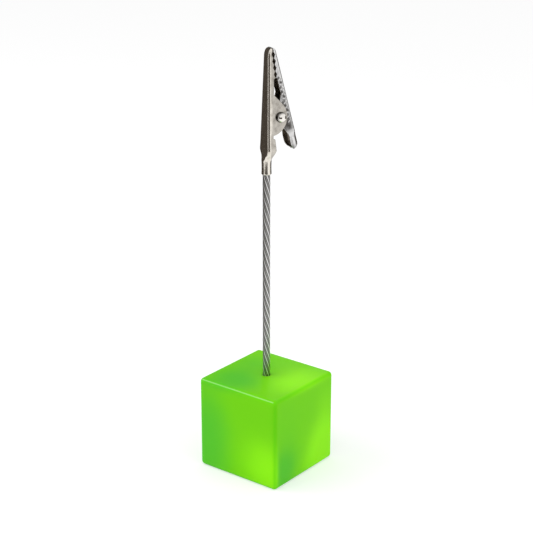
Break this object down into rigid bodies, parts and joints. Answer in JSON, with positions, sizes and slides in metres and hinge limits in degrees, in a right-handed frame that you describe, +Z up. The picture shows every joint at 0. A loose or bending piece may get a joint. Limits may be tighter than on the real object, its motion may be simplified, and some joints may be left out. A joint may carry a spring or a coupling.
{
  "type": "photo clip holder",
  "caption": "Translucent resin cube with a stiff wire-rope stem that carries a sprung, toothed metal clip for holding a photo or card upright.",
  "frame": {"origin": "middle of the cube's underside, on the surface it stands on", "axes": "+Z up along the stem, X and Y along the cube's edges; the clip's opening side is turned 23 degrees from +Y toward +X"},
  "size_m": [0.0254, 0.0254, 0.113],
  "materials": {
    "resin": "translucent lime-green cast resin, frosted",
    "rope_wire": "bright drawn steel wire",
    "clip_sheet": "nickel-plated folded sheet steel, lightly brushed",
    "rivet": "nickel-plated, polished domed heads",
    "spring_wire": "spring steel wire, oiled grey"
  },
  "bodies": {
    "stand": {"base_cube": "resin", "core_wire": "rope_wire", "inner_wire_1": "rope_wire", "inner_wire_2": "rope_wire", "inner_wire_3": "rope_wire", "inner_wire_4": "rope_wire", "inner_wire_5": "rope_wire", "inner_wire_6": "rope_wire", "outer_wire_01": "rope_wire", "outer_wire_02": "rope_wire", "outer_wire_03": "rope_wire", "outer_wire_04": "rope_wire", "outer_wire_05": "rope_wire", "outer_wire_06": "rope_wire", "outer_wire_07": "rope_wire", "outer_wire_08": "rope_wire", "outer_wire_09": "rope_wire", "outer_wire_10": "rope_wire", "outer_wire_11": "rope_wire", "outer_wire_12": "rope_wire", "fixed_jaw": "clip_sheet", "pivot_rivet": "rivet", "torsion_spring": "spring_wire"},
    "moving_jaw": {"moving_jaw": "clip_sheet"}
  },
  "joints": [
    {"name": "jaw_pivot", "type": "hinge", "parent": "stand", "child": "moving_jaw", "pos_m": [0.00117, 0.00276, 0.0956], "axis": [-0.9205, 0.3907, 0], "range_deg": [0, 36], "stiffness_Nm_per_rad": 0.02, "springref_deg": -1.72, "deforming": ["torsion_spring"]}
  ]
}
